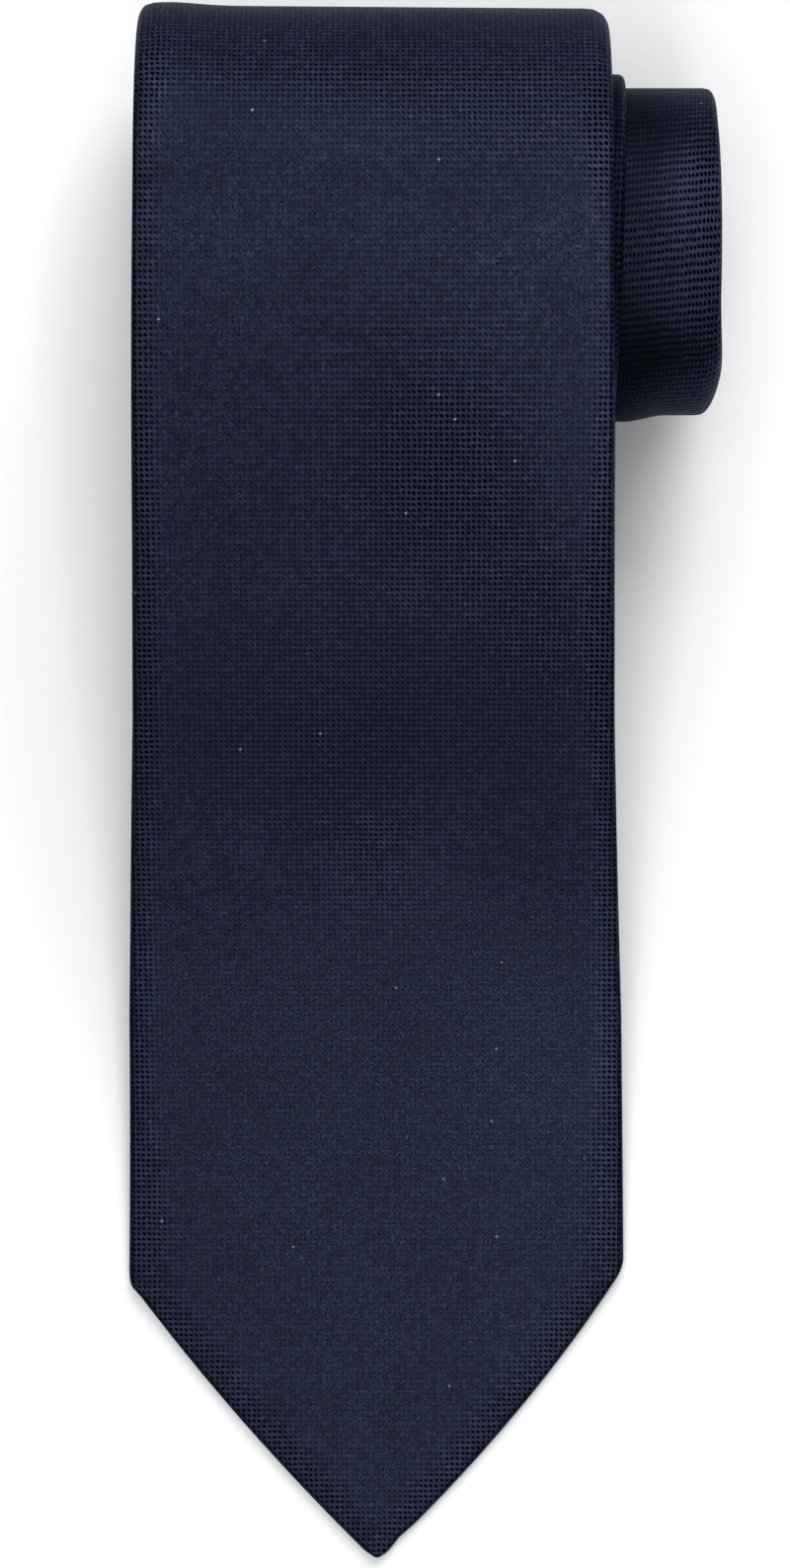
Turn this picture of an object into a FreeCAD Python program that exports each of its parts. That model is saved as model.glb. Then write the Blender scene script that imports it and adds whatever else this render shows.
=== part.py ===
import FreeCAD, Part
import bisect
import math
import os

import Sketcher

# A three-piece necktie, lying face up: the tail and the neck are rolled up behind the wide
# blade, and the blade comes over the top of the roll and slopes down to the table.
#
# Frame, in millimetres: Z up from the table, +Y from the blade's tip towards the roll,
# +X towards the side where the inner turns stick out. The origin is under the middle.
#
# A place on the cloth has three coordinates: "along" is the distance from the blade's tip
# on the middle line of the cloth's thickness, "across" is measured from the centre seam, and
# "deep" from the tie's front face towards its back. The front face is outside on the roll.

doc = FreeCAD.newDocument("necktie")
sheet = doc.addObject("Spreadsheet::Sheet", "dimensions")

DIMENSIONS = [
    # lengths along the tie, from the blade's tip
    ("overall_length", 1480.0),
    ("blade_point", 48.1),
    ("blade_tack", 95.0),
    ("label_station", 141.0),
    ("keeper_station", 175.0),
    ("fold_station", 245.0),
    ("blade_seam", 700.0),
    ("neck_start", 780.0),
    ("tail_seam", 1050.0),
    ("neck_end", 1100.0),
    ("care_station", 1443.5),
    ("tail_tack", 75.0),
    ("tail_point", 24.0),
    # widths
    ("blade_width", 85.0),
    ("fold_width", 78.2),
    ("neck_width", 38.0),
    ("tail_width", 46.0),
    ("nose_width", 3.2),
    ("blade_hem", 12.0),
    ("tail_hem", 8.0),
    # thicknesses and small gaps
    ("tie_thickness", 2.2),
    ("cloth_thickness", 0.45),
    ("interlining_thickness", 0.95),
    ("tipping_thickness", 0.2),
    ("ply_gap", 0.05),
    ("turn_gap", 0.1),
    ("blade_gap", 0.3),
    ("seam_gap", 1.0),
    # how the tie lies
    ("tip_y", -131.65),
    ("blade_x", -7.75),
    ("roll_height", 62.8),
    ("tip_rest", 31.7),
    ("sweep_radius", 200.0),
    ("slope_angle", 26.0),
    ("shoulder_radius", 80.0),
    ("crest_run", 11.3),
    ("table_run", 8.9),
    ("hinge_setback", 3.2),
    # the right-hand edge of the cloth on the roll, from the blade's centre line, and the
    # distances along between which the edge slides from one to the next
    ("second_turn_edge", 42.1),
    ("inner_turns_edge", 57.2),
    ("core_edge", 58.0),
    ("first_slide_start", 290.0),
    ("first_slide_end", 420.0),
    ("second_slide_start", 490.0),
    ("second_slide_end", 595.0),
    ("core_slide_start", 700.0),
    ("core_slide_end", 900.0),
    # sewn-on pieces
    ("keeper_length", 50.0),
    ("keeper_width", 14.0),
    ("keeper_rise", 1.6),
    ("keeper_thickness", 0.8),
    ("keeper_foot", 5.0),
    ("label_length", 56.0),
    ("label_width", 18.0),
    ("label_thickness", 0.35),
    ("label_corner", 1.0),
    ("care_width", 17.0),
    ("care_length", 20.0),
    ("tack_length", 8.0),
    ("tack_width", 2.0),
    ("tack_thickness", 0.6),
    ("thread_width", 0.6),
]
for row, (alias, value) in enumerate(DIMENSIONS, start=1):
    sheet.set("A%d" % row, alias)
    sheet.set("B%d" % row, str(value))
    sheet.setAlias("B%d" % row, alias)
doc.recompute()


def size(alias):
    """A driving dimension, read from the spreadsheet."""
    return float(sheet.get(alias))


def smooth(value, low, high):
    """0 below low, 1 above high and an even ease between them."""
    t = min(1.0, max(0.0, (value - low) / (high - low)))
    return t * t * (3.0 - 2.0 * t)


def between(value, low, high, at_low, at_high):
    """Straight-line change from at_low to at_high, held beyond the ends."""
    t = min(1.0, max(0.0, (value - low) / (high - low)))
    return at_low + t * (at_high - at_low)


# ---------------------------------------------------------------- the line that the tie follows

LENGTH = size("overall_length")
THICK = size("tie_thickness")
CLOTH = size("cloth_thickness")
GAP = size("ply_gap")
SEAM_HALF = size("seam_gap") / 2.0
FOLD_FACETS = 12  # flats in each half turn of the roll
SWEEP_FACETS = 5
SHOULDER_FACETS = 3
FLAT_ENOUGH = 1e-7  # how far a face's fourth corner may lie off its plane
LEAST_FLAP = 0.2
LEAST_STEP = 0.01


def tie_runs():
    """Straight runs and arcs from the tip inwards: (length, turn in radians, facets)."""
    slope = math.radians(size("slope_angle"))
    sweep = size("sweep_radius")
    shoulder = size("shoulder_radius")
    rise = size("roll_height") - THICK
    incline = (rise - (sweep + shoulder) * (1.0 - math.cos(slope))) / math.sin(slope)
    runs = [
        (size("tip_rest"), 0.0, 1),
        (sweep * slope, slope, SWEEP_FACETS),
        (incline, 0.0, 1),
        (shoulder * slope, -slope, SHOULDER_FACETS),
        (size("crest_run"), 0.0, 1),
        (rise / 2.0 * math.pi, -math.pi, FOLD_FACETS),
        (size("table_run"), 0.0, 1),
    ]
    # From here the roll is a spiral of half turns. The blade rests on its second crest.
    radius = (rise - THICK - size("blade_gap")) / 2.0
    used = sum(run[0] for run in runs)
    while used < LENGTH:
        runs.append((radius * math.pi, -math.pi, FOLD_FACETS))
        used += radius * math.pi
        radius -= (THICK + size("turn_gap")) / 2.0
    return runs


RUNS = tie_runs()
FOLD_START = sum(run[0] for run in RUNS[:5])
HINGE = FOLD_START - size("hinge_setback")


def locate(along):
    """The middle line's y and z, and its heading in radians from +Y, at a distance along."""
    y = size("tip_y")
    z = THICK / 2.0
    heading = 0.0
    for length, turn, facets in RUNS:
        step = min(length, along)
        if turn:
            radius = length / turn
            end = heading + step / radius
            y += radius * (math.sin(end) - math.sin(heading))
            z += radius * (math.cos(heading) - math.cos(end))
            heading = end
        else:
            y += step * math.cos(heading)
            z += step * math.sin(heading)
        along -= step
        if along <= 0.0:
            break
    return y, z, heading


def half_width(along):
    """Half of the tie's width."""
    blade = size("blade_width") / 2.0
    fold = size("fold_width") / 2.0
    neck = size("neck_width") / 2.0
    tail = size("tail_width") / 2.0
    nose = size("nose_width") / 2.0
    if along < size("blade_point"):
        return between(along, 0.0, size("blade_point"), nose, blade)
    if along < size("fold_station"):
        return between(along, size("blade_point"), size("fold_station"), blade, fold)
    if along < size("neck_start"):
        return between(along, size("fold_station"), size("neck_start"), fold, neck)
    shoulder = LENGTH - size("tail_point")
    if along < shoulder:
        return between(along, size("neck_end"), shoulder, neck, tail)
    return between(along, shoulder, LENGTH, tail, nose)


def middle_x(along):
    """X of the centre seam. The turns slide to the right, then stay flush at that edge."""
    half = half_width(min(along, LENGTH - size("tail_point")))
    edge = half
    for slide, target in (("first", "second_turn"), ("second", "inner_turns"), ("core", "core")):
        part = smooth(along, size(slide + "_slide_start"), size(slide + "_slide_end"))
        edge += part * (size(target + "_edge") - edge)
    return size("blade_x") + edge - half


def flap_edge(along):
    """How far from the centre line the folded-back flaps begin, on the tie's back."""
    if along < LENGTH / 2.0:
        end, point, tack, hem = along, size("blade_point"), size("blade_tack"), size("blade_hem")
    else:
        end, point, tack, hem = LENGTH - along, size("tail_point"), size("tail_tack"), size("tail_hem")
    corner = max(SEAM_HALF, half_width(along) - hem)
    if end < point:
        return corner
    return between(end, point, tack, corner, SEAM_HALF)


def facet_corners():
    """Distances along at which one flat of the tie's line ends and the next begins."""
    corners = [0.0]
    for length, turn, facets in RUNS:
        start = corners[-1]
        corners += [start + length * (i + 1) / facets for i in range(facets)]
    return corners


FACETS = facet_corners()


def stations(start, end):
    """Where cross-sections are taken between two distances along."""
    keys = [size(a) for a in ("blade_point", "blade_tack", "fold_station", "neck_start", "neck_end")]
    keys += [size("blade_hem"), LENGTH - size("tail_hem")]
    keys += [LENGTH - size("tail_point"), LENGTH - size("tail_tack")]
    inside = [key for key in keys + FACETS if start + LEAST_STEP < key < end - LEAST_STEP]
    return sorted(set(inside + [start, end]))


def exact_point(along, across, deep):
    """A place on the cloth if its line were truly round, in the object's frame."""
    y, z, heading = locate(along)
    out = THICK / 2.0 - deep
    return FreeCAD.Vector(
        middle_x(along) + across, y - out * math.sin(heading), z + out * math.cos(heading)
    )


def cloth_point(along, across, deep):
    """A place on the cloth. Every ply has the same flats, so that the turns nest."""
    after = bisect.bisect_left(FACETS, along)
    if after == 0:
        return exact_point(along, across, deep)
    start, end = FACETS[after - 1], FACETS[after]
    part = (along - start) / (end - start)
    low = exact_point(start, across, deep)
    high = exact_point(end, across, deep)
    point = low + (high - low) * part
    point.x = middle_x(along) + across
    return point


def skin(corners):
    """One flat face through four corners, or two three-cornered ones if they are twisted."""
    flat = Part.Plane(corners[0], corners[1], corners[2])
    off = (corners[3] - flat.Position).dot(flat.Axis)
    if abs(off) < FLAT_ENOUGH:
        return [Part.Face(Part.makePolygon(corners + corners[:1]))]
    halves = [corners[:3], [corners[0], corners[2], corners[3]]]
    return [Part.Face(Part.makePolygon(half + half[:1])) for half in halves]


def loft(start, end, outline):
    """A solid along the tie. outline gives its cross-section's (across, deep) corners."""
    sections = []
    for along in stations(start, end):
        sections.append([cloth_point(along, across, deep) for across, deep in outline(along)])
    ends = (sections[0], sections[-1])
    faces = [Part.Face(Part.makePolygon(corners + corners[:1])) for corners in ends]
    for low, high in zip(sections, sections[1:]):
        for i in range(len(low)):
            j = (i + 1) % len(low)
            faces += skin([low[i], low[j], high[j], high[i]])
    solid = Part.makeSolid(Part.makeShell(faces))
    if solid.Volume < 0.0:
        solid.reverse()
    return solid


def shell_outline(along):
    """The outer cloth: one sheet with both its sides folded round to the back."""
    half = half_width(along)
    inside = half - CLOTH
    flap = min(flap_edge(along), inside - LEAST_FLAP)
    back = THICK - CLOTH
    right = [(half, 0.0), (half, THICK), (flap, THICK), (flap, back), (inside, back), (inside, CLOTH)]
    left = [(-across, deep) for across, deep in reversed(right)]
    return right + left


def band_outline(margin, near, far):
    """A flat ply: margin inside the tie's edges, between two depths."""

    def outline(along):
        half = half_width(along) - margin
        return [(half, near), (half, far), (-half, far), (-half, near)]

    return outline


def bar_outline(width, near, far):
    """A ply of one width on the centre seam."""

    def outline(along):
        half = width / 2.0
        return [(half, near), (half, far), (-half, far), (-half, near)]

    return outline


def add_soft_part(label, shape):
    """A rolled or draped sheet, which no sketch feature can follow."""
    part = doc.addObject("Part::Feature", label)
    part.Label = label
    part.Shape = shape
    part.Placement = FreeCAD.Placement()
    return part


# ---------------------------------------------------------------- outer cloth

END_GAP = 0.3  # between two panels' ends, where the seam's thread lies
SEAM_AT = size("blade_seam")
TAIL_SEAM_AT = size("tail_seam")

add_soft_part("blade_panel", loft(0.0, HINGE - END_GAP / 2.0, shell_outline))
add_soft_part("blade_panel_rolled", loft(HINGE + END_GAP / 2.0, SEAM_AT - END_GAP, shell_outline))
add_soft_part("neck_panel", loft(SEAM_AT + END_GAP, TAIL_SEAM_AT - END_GAP, shell_outline))
add_soft_part("tail_panel", loft(TAIL_SEAM_AT + END_GAP, LENGTH, shell_outline))

# ---------------------------------------------------------------- plies inside

LINING_NEAR = CLOTH + GAP
LINING_FAR = LINING_NEAR + size("interlining_thickness")
TIPPING_NEAR = LINING_FAR + GAP
TIPPING_FAR = TIPPING_NEAR + size("tipping_thickness")
LINING_MARGIN = CLOTH + 0.35
TIPPING_MARGIN = CLOTH + 1.2
LINING_START = 6.0  # from the tip
TIPPING_START = 8.0
TIPPING_UNDER_FLAPS = 12.0  # how far the tipping runs on beyond the bar tack

lining = band_outline(LINING_MARGIN, LINING_NEAR, LINING_FAR)
tipping = band_outline(TIPPING_MARGIN, TIPPING_NEAR, TIPPING_FAR)
add_soft_part("interlining_blade", loft(LINING_START, HINGE - END_GAP / 2.0, lining))
add_soft_part("interlining_rolled", loft(HINGE + END_GAP / 2.0, LENGTH - LINING_START, lining))
blade_tipping_end = size("blade_tack") + TIPPING_UNDER_FLAPS
tail_tipping_start = LENGTH - size("tail_tack") - TIPPING_UNDER_FLAPS
add_soft_part("blade_tipping", loft(TIPPING_START, blade_tipping_end, tipping))
add_soft_part("tail_tipping", loft(tail_tipping_start, LENGTH - TIPPING_START, tipping))

# ---------------------------------------------------------------- threads along the seams

THREAD_NEAR = THICK - CLOTH + GAP
THREAD_FAR = THICK - GAP
TACK_CLEAR = 1.6

thread = bar_outline(size("thread_width"), THREAD_NEAR, THREAD_FAR)
slip_start = size("blade_tack") + TACK_CLEAR
slip_end = LENGTH - size("tail_tack") - TACK_CLEAR
add_soft_part("slip_stitch_blade", loft(slip_start, HINGE - END_GAP / 2.0, thread))
add_soft_part("slip_stitch_rolled", loft(HINGE + END_GAP / 2.0, slip_end, thread))
tail_tack = bar_outline(SEAM_HALF * 2.0 - 2.0 * GAP, THREAD_NEAR, THREAD_FAR)
tail_tack_at = LENGTH - size("tail_tack")
tack_half = size("tack_width") / 2.0
add_soft_part("tail_bar_tack", loft(tail_tack_at - tack_half, tail_tack_at + tack_half, tail_tack))

PIECING_MARGIN = 1.0
PIECING_HALF = END_GAP - GAP
piecing = band_outline(PIECING_MARGIN, GAP, CLOTH - GAP)
for label, seam in (("blade_neck_seam", SEAM_AT), ("neck_tail_seam", TAIL_SEAM_AT)):
    add_soft_part(label, loft(seam - PIECING_HALF, seam + PIECING_HALF, piecing))

care = bar_outline(size("care_width"), THICK + GAP, THICK + GAP + size("tipping_thickness"))
care_half = size("care_length") / 2.0
care_at = size("care_station")
add_soft_part("care_label", loft(care_at - care_half, care_at + care_half, care))

# ---------------------------------------------------------------- pieces sewn on the blade's back


def body_plane(body, role):
    """One of a body's own origin planes."""
    for feature in body.Origin.OriginFeatures:
        if feature.Role == role:
            return feature
    raise ValueError("no plane " + role)


def sketch_on(body, role, name):
    """A sketch on one of the body's origin planes."""
    sketch = body.newObject("Sketcher::SketchObject", name)
    sketch.AttachmentSupport = [(body_plane(body, role), "")]
    sketch.MapMode = "FlatFace"
    return sketch


def draw_rectangle(sketch, length, width, centred=True):
    """A rectangle with its sides tied to two expressions. It is centred on the sketch's
    origin, or centred left and right and standing on the sketch's X axis."""
    corners = [FreeCAD.Vector(*corner, 0) for corner in ((-1, -1), (1, -1), (1, 1), (-1, 1))]
    for i in range(4):
        sketch.addGeometry(Part.LineSegment(corners[i], corners[(i + 1) % 4]), False)
    for i in range(4):
        sketch.addConstraint(Sketcher.Constraint("Coincident", i, 2, (i + 1) % 4, 1))
    for i in (0, 2):
        sketch.addConstraint(Sketcher.Constraint("Horizontal", i))
        sketch.addConstraint(Sketcher.Constraint("Vertical", i + 1))
    if centred:
        sketch.addConstraint(Sketcher.Constraint("Symmetric", 0, 1, 1, 2, -1, 1))
    else:
        sketch.addConstraint(Sketcher.Constraint("Symmetric", 0, 1, 0, 2, -1, 1))
    wide = sketch.addConstraint(Sketcher.Constraint("DistanceX", 0, 1, 0, 2, 2.0))
    tall = sketch.addConstraint(Sketcher.Constraint("DistanceY", 1, 1, 1, 2, 2.0))
    sketch.setExpression("Constraints[%d]" % wide, length)
    sketch.setExpression("Constraints[%d]" % tall, width)


def back_placement(along, across, stand_off):
    """X across the tie and Z pointing away from its back, on the blade at rest."""
    y, z, heading = locate(along)
    place = cloth_point(along, across, THICK + stand_off)
    turn = FreeCAD.Rotation(FreeCAD.Vector(1, 0, 0), math.degrees(heading) + 180.0)
    return FreeCAD.Placement(place, turn)


def sewn_block(label, length, width, thickness, placement):
    """A flat sewn piece: a centred rectangle padded away from the tie's back."""
    body = doc.addObject("PartDesign::Body", label)
    body.Label = label
    sketch = sketch_on(body, "XY_Plane", label + "_outline")
    draw_rectangle(sketch, "dimensions." + length, "dimensions." + width)
    pad = body.newObject("PartDesign::Pad", label + "_pad")
    pad.Profile = sketch
    pad.setExpression("Length", "dimensions." + thickness)
    body.Placement = placement
    doc.recompute()
    return body


UPRIGHT = 0.99


def round_corners(body, radius):
    """Rounds a flat piece's four upright corners."""
    solid = body.Tip
    edges = []
    for number, edge in enumerate(solid.Shape.Edges, start=1):
        direction = edge.tangentAt(edge.FirstParameter)
        if abs(direction.z) > UPRIGHT:
            edges.append("Edge%d" % number)
    fillet = body.newObject("PartDesign::Fillet", body.Label + "_corners")
    fillet.Base = (solid, edges)
    fillet.setExpression("Radius", "dimensions." + radius)
    doc.recompute()


def keeper_body(placement):
    """The keeper: a flat loop that stands off the back, with both its ends turned under."""
    body = doc.addObject("PartDesign::Body", "keeper_loop")
    body.Label = "keeper_loop"
    sketch = sketch_on(body, "XY_Plane", "keeper_outline")
    draw_rectangle(sketch, "dimensions.keeper_length", "dimensions.keeper_width")
    pad = body.newObject("PartDesign::Pad", "keeper_pad")
    pad.Profile = sketch
    pad.setExpression("Length", "dimensions.keeper_rise + dimensions.keeper_thickness")
    doc.recompute()
    window = sketch_on(body, "XZ_Plane", "keeper_window")
    span = "dimensions.keeper_length - 2 * dimensions.keeper_foot"
    draw_rectangle(window, span, "dimensions.keeper_rise", centred=False)
    pocket = body.newObject("PartDesign::Pocket", "keeper_opening")
    pocket.Profile = window
    pocket.Type = "ThroughAll"
    pocket.Midplane = True
    body.Placement = placement
    doc.recompute()
    return body


def tacks(label, places):
    """Hand-sewn tacks of one length, as separate solids in one compound."""
    blocks = []
    for number, placement in enumerate(places, start=1):
        block = doc.addObject("Part::Box", "%s_%d" % (label, number))
        block.setExpression("Length", "dimensions.tack_width")
        block.setExpression("Width", "dimensions.tack_length")
        block.setExpression("Height", "dimensions.tack_thickness")
        block.Placement = placement
        blocks.append(block)
    group = doc.addObject("Part::Compound", label)
    group.Label = label
    group.Links = blocks
    return group


def end_tacks(label, along, half_length, stand_off):
    """The tacks at both ends of a piece that lies across the back."""
    tack_width = size("tack_width")
    far_along = along + size("tack_length") / 2.0
    places = []
    for side in (-1.0, 1.0):
        across = side * (half_length - tack_width / 2.0) - tack_width / 2.0
        places.append(back_placement(far_along, across, stand_off))
    tacks(label, places)


TACK_INSET = 1.0  # from the end of the piece that the tacks hold
keeper_at = size("keeper_station")
label_at = size("label_station")
keeper_body(back_placement(keeper_at, 0.0, GAP))
brand_place = back_placement(label_at, 0.0, GAP)
brand = sewn_block("brand_label", "label_length", "label_width", "label_thickness", brand_place)
round_corners(brand, "label_corner")
tack_place = back_placement(size("blade_tack"), 0.0, GAP)
sewn_block("blade_bar_tack", "tack_length", "tack_width", "tack_thickness", tack_place)

keeper_top = GAP + size("keeper_rise") + size("keeper_thickness") + GAP
label_top = GAP + size("label_thickness") + GAP
keeper_half = size("keeper_length") / 2.0 - TACK_INSET
label_half = size("label_length") / 2.0 - TACK_INSET
end_tacks("keeper_stitches", keeper_at, keeper_half, keeper_top)
end_tacks("label_stitches", label_at, label_half, label_top)

# ---------------------------------------------------------------- check and write

NODES = [
    "blade_panel", "blade_panel_rolled", "neck_panel", "tail_panel", "interlining_blade",
    "interlining_rolled", "blade_tipping", "tail_tipping", "slip_stitch_blade", "slip_stitch_rolled",
    "tail_bar_tack", "blade_neck_seam", "neck_tail_seam", "care_label", "keeper_loop", "brand_label",
    "blade_bar_tack", "keeper_stitches", "label_stitches",
]

doc.recompute()
for item in doc.Objects:
    if "Invalid" in item.State or "Error" in item.State:
        raise RuntimeError(item.Label + " is " + str(item.State))
os.makedirs("parts", exist_ok=True)
for name in NODES:
    shape = doc.getObjectsByLabel(name)[0].Shape
    if shape.isNull() or not shape.isValid() or shape.Volume <= 0.0:
        raise RuntimeError(name + " has a bad shape")
    shape.exportStep("parts/%s.step" % name)
    print("%-20s %9.1f mm3 %s" % (name, shape.Volume, shape.BoundBox))
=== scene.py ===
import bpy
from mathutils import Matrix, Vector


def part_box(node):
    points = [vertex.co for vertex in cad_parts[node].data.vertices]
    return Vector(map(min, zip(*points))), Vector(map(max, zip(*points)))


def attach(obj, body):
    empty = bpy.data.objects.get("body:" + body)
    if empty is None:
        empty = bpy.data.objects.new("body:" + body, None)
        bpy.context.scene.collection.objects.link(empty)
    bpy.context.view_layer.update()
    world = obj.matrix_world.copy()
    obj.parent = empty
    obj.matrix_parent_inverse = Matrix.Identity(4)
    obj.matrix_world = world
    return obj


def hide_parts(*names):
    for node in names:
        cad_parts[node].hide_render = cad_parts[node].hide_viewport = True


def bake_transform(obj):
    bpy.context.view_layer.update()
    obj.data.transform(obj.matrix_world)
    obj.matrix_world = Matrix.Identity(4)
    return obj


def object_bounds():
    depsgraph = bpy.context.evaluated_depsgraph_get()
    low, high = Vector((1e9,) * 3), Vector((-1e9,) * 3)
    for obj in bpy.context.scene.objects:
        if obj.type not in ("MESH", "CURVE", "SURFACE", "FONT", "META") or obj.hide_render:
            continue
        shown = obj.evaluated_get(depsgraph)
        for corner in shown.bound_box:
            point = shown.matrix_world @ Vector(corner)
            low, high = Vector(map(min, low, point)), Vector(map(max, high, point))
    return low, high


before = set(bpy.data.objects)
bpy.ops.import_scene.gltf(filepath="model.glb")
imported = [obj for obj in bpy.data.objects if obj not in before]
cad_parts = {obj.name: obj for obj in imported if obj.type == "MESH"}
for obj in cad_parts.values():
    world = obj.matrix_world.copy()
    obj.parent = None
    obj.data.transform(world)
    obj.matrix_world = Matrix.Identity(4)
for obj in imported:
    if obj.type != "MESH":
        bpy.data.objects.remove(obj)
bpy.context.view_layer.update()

import math

import bpy
import mathutils
import numpy as np

# A necktie lying face up, its tail and neck rolled up behind the wide blade. A spot on the cloth
# is given by "along", the distance from the blade's tip, "across", from the centre seam, and
# "deep", from the tie's front face towards its back. The front face is outside on the roll.

MM = 0.001

# ---------------------------------------------------------------- sizes

blade_low, blade_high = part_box("blade_panel")
roll_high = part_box("blade_panel_rolled")[1]
tail_low, tail_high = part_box("tail_panel")
object_low, object_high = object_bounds()

BLADE_X = (blade_low.x + blade_high.x) / 2
BLADE_WIDTH = blade_high.x - blade_low.x
ROLL_HEIGHT = roll_high.z
CREST_Y = roll_high.y - ROLL_HEIGHT / 2  # where the top fold's arc begins
INNER_EDGE = tail_high.x - BLADE_X - 1.1 * MM  # the turns' right-hand edge, from the blade's middle
VISIBLE_EDGE = INNER_EDGE - 0.05 * MM  # the same for the turn in sight, which is drawn in a little
SECOND_EDGE = 41.7 * MM  # and for the turn between that one and the blade
SECOND_SLIDE = 1.5 * MM  # that turn slides out from under the blade by this much
TAIL_WIDTH = tail_high.x - tail_low.x
NECK_WIDTH = 38 * MM

LENGTH = 1480 * MM
THICK = 2.2 * MM
CLOTH = 0.4 * MM
TURN_PITCH = 2.3 * MM  # from one turn of the roll to the next
BLADE_GAP = 0.3 * MM

# distances along the tie from the blade's tip
TIP_REST = 32.4 * MM
SWEEP_RADIUS = 200 * MM
SHOULDER_RADIUS = 80 * MM
SLOPE = math.radians(26)
CREST_RUN = 11.3 * MM
TABLE_RUN = 8.9 * MM
BLADE_TACK = 95 * MM
LABEL_AT = 141 * MM
KEEPER_AT = 175 * MM
BLADE_SEAM = 700 * MM
NECK_START = 780 * MM
TAIL_SEAM = 1050 * MM
NECK_END = 1100 * MM
TAIL_TACK = LENGTH - 75 * MM
CARE_AT = 1443.5 * MM
TAIL_POINT = 24 * MM

# the tie's widths between the blade's point and the neck, measured on the photographed outline:
# the blade doesn't narrow evenly
WIDTH_AT = np.array([0, 50, 95, 150, 182, 245, 315]) * MM
WIDTHS = np.array([85.4, 85.3, 84.3, 81.1, 80.2, 79.0, 78.6]) * MM / (85 * MM) * BLADE_WIDTH

# the blade's point: start, slope and bow (per metre) of its left and right slanted sides, worked
# out from three places on each side of the photographed outline
POINT_SIDES = {-1: (0.80 * MM, 1.018, 2.98), 1: (0.65 * MM, 1.039, 4.04)}
NOSE = 1.6 * MM
BLADE_HEM = 12 * MM
TAIL_HEM = 8 * MM
LEAN = 0.4 * MM  # how far the blade wanders to the left on its way up the roll
SWELL = 0.10 * MM  # the height of the slow, shallow swells on the free blade
SEAM_HALF = 0.2 * MM  # from the centre seam to each flap's fold


def ease(value, low, high):
    """0 below low, 1 above high and an even ease between them."""
    t = np.clip((value - low) / (high - low), 0, 1)
    return t * t * (3 - 2 * t)


def bump(value, centre, reach):
    """1 at the centre and a smooth fall on both sides of it."""
    return np.exp(-(((value - centre) / reach) ** 2))


def soft_least(a, b, blur):
    """The smaller of two values, with the corner between them rounded."""
    near = np.maximum(blur * 4 - np.abs(a - b), 0) / (blur * 4)
    return np.minimum(a, b) - near * near * blur


# ---------------------------------------------------------------- the line that the tie follows

STEP = 0.25 * MM


def tie_line():
    """Distance along, y, z and heading, from the tip inwards, on the middle of the thickness."""
    rise = ROLL_HEIGHT - THICK
    incline = (rise - (SWEEP_RADIUS + SHOULDER_RADIUS) * (1 - math.cos(SLOPE))) / math.sin(SLOPE)
    runs = [
        (TIP_REST, 0),
        (SWEEP_RADIUS * SLOPE, SLOPE),
        (incline, 0),
        (SHOULDER_RADIUS * SLOPE, -SLOPE),
        (CREST_RUN, 0),
        (rise / 2 * math.pi, -math.pi),
        (TABLE_RUN, 0),
    ]
    crest_end = sum(run[0] for run in runs[:5])
    used = sum(run[0] for run in runs)
    radius = (rise - THICK - BLADE_GAP) / 2
    while used < LENGTH:
        runs.append((radius * math.pi, -math.pi))
        used += radius * math.pi
        radius -= TURN_PITCH / 2
    knots = np.cumsum([0] + [run[0] for run in runs])
    headings = np.cumsum([0] + [run[1] for run in runs])
    along = np.arange(0, LENGTH + STEP, STEP)
    heading = np.interp(along, knots, headings)
    # The blade bends gently: its heading is evened out over a stretch on each side.
    stretch = int(18 * MM / STEP)
    padded = np.pad(heading, stretch, mode="edge")
    window = np.hanning(2 * stretch + 1)
    even = np.convolve(padded, window / window.sum(), mode="valid")
    keep = 1 - ease(along, crest_end - 24 * MM, crest_end - 4 * MM)
    heading = heading + keep * (even - heading)
    middle = (heading[1:] + heading[:-1]) / 2
    y = np.concatenate([[0], np.cumsum(np.cos(middle))]) * STEP
    z = np.concatenate([[0], np.cumsum(np.sin(middle))]) * STEP
    y += CREST_Y - np.interp(crest_end, along, y)
    z += ROLL_HEIGHT - THICK / 2 - np.interp(crest_end, along, z)
    # What that changed of the height is given back along the slope, so the tip lies on the table.
    lift = THICK / 2 - z[0]
    z += lift * (1 - ease(along, TIP_REST, crest_end - 30 * MM))
    return along, y, z, heading, crest_end


LINE_ALONG, LINE_Y, LINE_Z, LINE_HEADING, FOLD_START = tie_line()
FOLD_END = FOLD_START + (ROLL_HEIGHT - THICK) / 2 * math.pi  # on the table, under the top fold
SECOND_CREST = FOLD_END + TABLE_RUN + (ROLL_HEIGHT - 2 * THICK - BLADE_GAP) / 2 * math.pi
SIGHT_BOTTOM = SECOND_CREST + 128 * MM  # the underside of the turn in sight, beside the blade


def width_along(along):
    """The whole width of the tie, its two points left out."""
    knots = np.concatenate([WIDTH_AT, [NECK_START, NECK_END, LENGTH - TAIL_POINT]])
    return np.interp(along, knots, np.concatenate([WIDTHS, [NECK_WIDTH, NECK_WIDTH, TAIL_WIDTH]]))


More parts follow.
